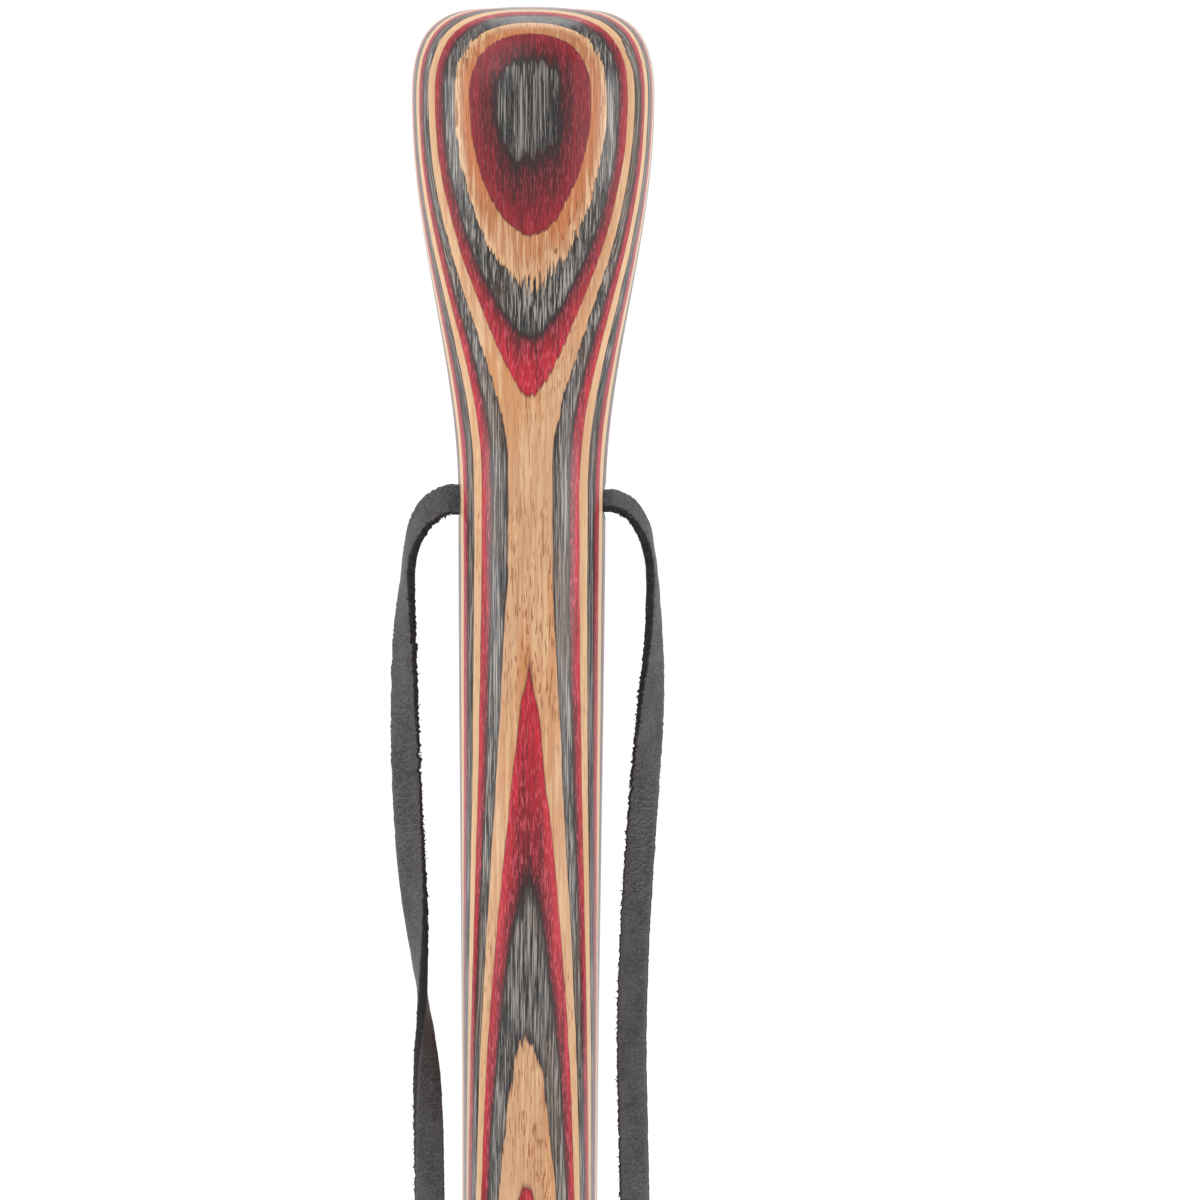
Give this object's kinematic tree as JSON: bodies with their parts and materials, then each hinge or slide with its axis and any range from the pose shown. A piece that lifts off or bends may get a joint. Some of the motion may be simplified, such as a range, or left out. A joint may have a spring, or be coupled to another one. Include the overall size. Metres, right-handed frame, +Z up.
{
  "type": "hiking staff",
  "caption": "Carved hiking staff of coloured laminated veneers with a bulbous head, a twisted oval shaft, a leather wrist strap and a rubber tip.",
  "frame": {"origin": "middle of the rubber tip's ground face", "axes": "+Z up along the shaft, +X along the strap hole and across the head as seen from the front, the front of the head looks along -Y, the veneers lie across Y"},
  "size_m": [0.0469, 0.0537, 1.22],
  "materials": {
    "veneer_black": "dyed, semigloss lacquer",
    "veneer_red": "dyed, semigloss lacquer",
    "veneer_natural": "semigloss lacquer",
    "strap_leather": "dyed, worn at the edges",
    "tip_rubber": "moulded, matt",
    "washer_steel": "zinc plated"
  },
  "bodies": {
    "staff": {"veneer_01_black": "veneer_black", "veneer_02_red": "veneer_red", "veneer_03_natural": "veneer_natural", "veneer_04_black": "veneer_black", "veneer_05_red": "veneer_red", "veneer_06_natural": "veneer_natural", "veneer_07_black": "veneer_black", "veneer_08_red": "veneer_red", "veneer_09_natural": "veneer_natural", "veneer_10_black": "veneer_black", "veneer_11_red": "veneer_red", "veneer_12_natural": "veneer_natural", "veneer_13_black": "veneer_black", "veneer_14_red": "veneer_red", "veneer_15_natural": "veneer_natural", "veneer_16_black": "veneer_black", "veneer_17_red": "veneer_red", "veneer_18_natural": "veneer_natural", "veneer_19_black": "veneer_black", "veneer_20_red": "veneer_red", "veneer_21_natural": "veneer_natural", "veneer_22_black": "veneer_black", "veneer_23_red": "veneer_red", "veneer_24_natural": "veneer_natural", "veneer_25_black": "veneer_black", "veneer_26_red": "veneer_red", "veneer_27_natural": "veneer_natural", "veneer_28_black": "veneer_black"},
    "strap": {"strap_in_hole": "strap_leather", "strap_right": "strap_leather", "strap_left": "strap_leather", "strap_knot": "strap_leather", "strap_tail_right": "strap_leather", "strap_tail_left": "strap_leather"},
    "tip": {"rubber_tip": "tip_rubber", "tip_washer": "washer_steel"}
  },
  "joints": [
    {"name": "strap_swing", "type": "hinge", "parent": "staff", "child": "strap", "pos_m": [0, 0, 1.138], "axis": [-1, 0, 0], "range_deg": [0, 150]},
    {"name": "tip_pull", "type": "slide", "parent": "staff", "child": "tip", "axis": [0, 0, -1], "range_m": [0, 0.04]}
  ]
}
